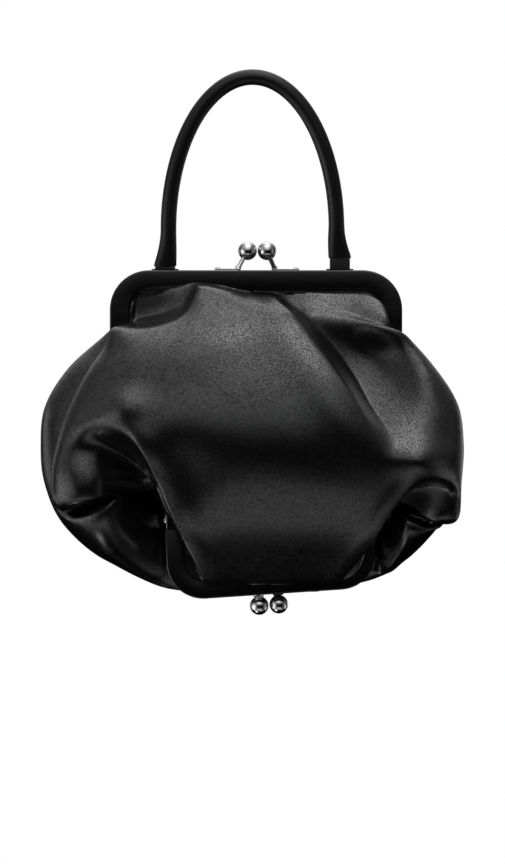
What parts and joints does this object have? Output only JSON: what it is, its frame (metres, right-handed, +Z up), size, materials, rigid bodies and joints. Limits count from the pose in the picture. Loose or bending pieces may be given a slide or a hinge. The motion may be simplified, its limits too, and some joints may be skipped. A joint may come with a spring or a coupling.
{
  "type": "kiss lock bag",
  "caption": "Soft leather frame bag hung by an arched rolled handle, with a kiss lock frame at the top and a smaller kiss lock frame at the bottom.",
  "frame": {"origin": "underside of the handle at the top of its arch, where the bag hangs", "axes": "+Z up along the hanging bag, +X to the right seen from the front, front facing -Y"},
  "size_m": [0.2897, 0.1449, 0.3738],
  "materials": {
    "body_leather": "fine grain, semi-matt",
    "frame_leather": "fine grain, matt",
    "handle_leather": "fine grain, matt",
    "dark_nickel": "polished dark nickel",
    "steel": "bright"
  },
  "bodies": {
    "root": {"handle": "handle_leather", "handle_tab_left": "handle_leather", "handle_tab_right": "handle_leather", "top_frame_front": "frame_leather", "top_frame_back": "frame_leather", "bottom_frame_front": "frame_leather", "bottom_frame_back": "frame_leather", "leather_front": "body_leather", "leather_back": "body_leather", "top_knob_front": "dark_nickel", "top_knob_back": "dark_nickel", "bottom_knob_front": "dark_nickel", "bottom_knob_back": "dark_nickel", "top_hinge_left": "steel", "top_hinge_right": "steel", "bottom_hinge_left": "steel", "bottom_hinge_right": "steel"}
  },
  "joints": []
}
